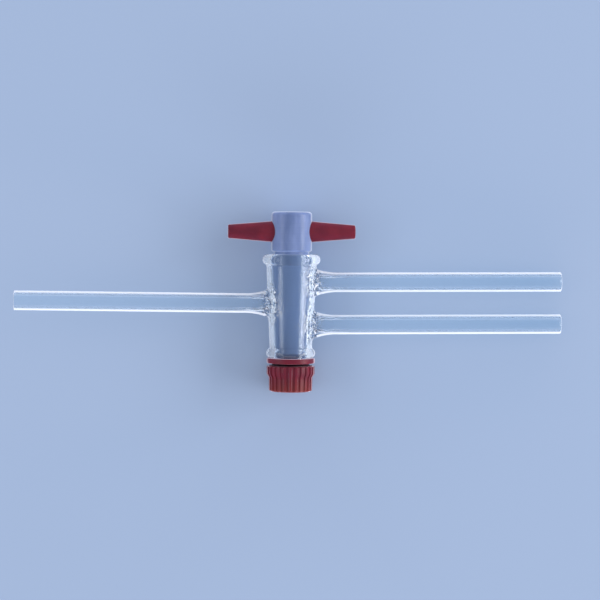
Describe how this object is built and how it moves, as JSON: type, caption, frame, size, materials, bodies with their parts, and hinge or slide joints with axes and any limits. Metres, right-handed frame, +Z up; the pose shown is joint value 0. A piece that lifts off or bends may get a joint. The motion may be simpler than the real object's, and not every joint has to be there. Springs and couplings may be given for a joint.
{
  "type": "glass stopcock",
  "caption": "Glass laboratory stopcock with straight tube arms, an oblique-bored plug, a bar handle and a ribbed retaining nut.",
  "frame": {"origin": "under the middle of the box of the object as it lies on a bench", "axes": "+X runs along the paired arms, +Y runs along the plug towards the handle, and +Z is up. The object rests on the rim of the barrel, the nut and the end of the lower paired arm, so the plug is pitched up by 2.5 degrees and the arms are rolled down to the right by 3.5 degrees."},
  "size_m": [0.2082, 0.0688, 0.0219],
  "materials": {
    "borosilicate_glass": "clear lampworked borosilicate, fire-polished ends",
    "ptfe": "turned, milky and slightly translucent",
    "red_polypropylene": "moulded, satin",
    "dark_elastomer": "smooth"
  },
  "bodies": {
    "glass": {"glass_body": "borosilicate_glass"},
    "plug": {"plug": "ptfe", "handle": "red_polypropylene", "washer": "red_polypropylene"},
    "seal": {"o_ring": "dark_elastomer"},
    "nut": {"nut": "red_polypropylene"}
  },
  "joints": [
    {"name": "plug_turn", "type": "hinge", "parent": "glass", "child": "plug", "pos_m": [0.00085, -0.0007, 0.01025], "axis": [0, 0.999, 0.0437], "continuous": true},
    {"name": "nut_travel", "type": "slide", "parent": "plug", "child": "seal", "axis": [0, -0.999, -0.0437], "range_m": [0, 0.0075]},
    {"name": "nut_turn", "type": "hinge", "parent": "seal", "child": "nut", "pos_m": [0.00085, -0.0007, 0.01025], "axis": [0, -0.999, -0.0437], "range_deg": [0, 1800]}
  ],
  "couplings": [
    {"joint": "nut_turn", "follows": "nut_travel", "rad_per_m": 4188.8}
  ]
}
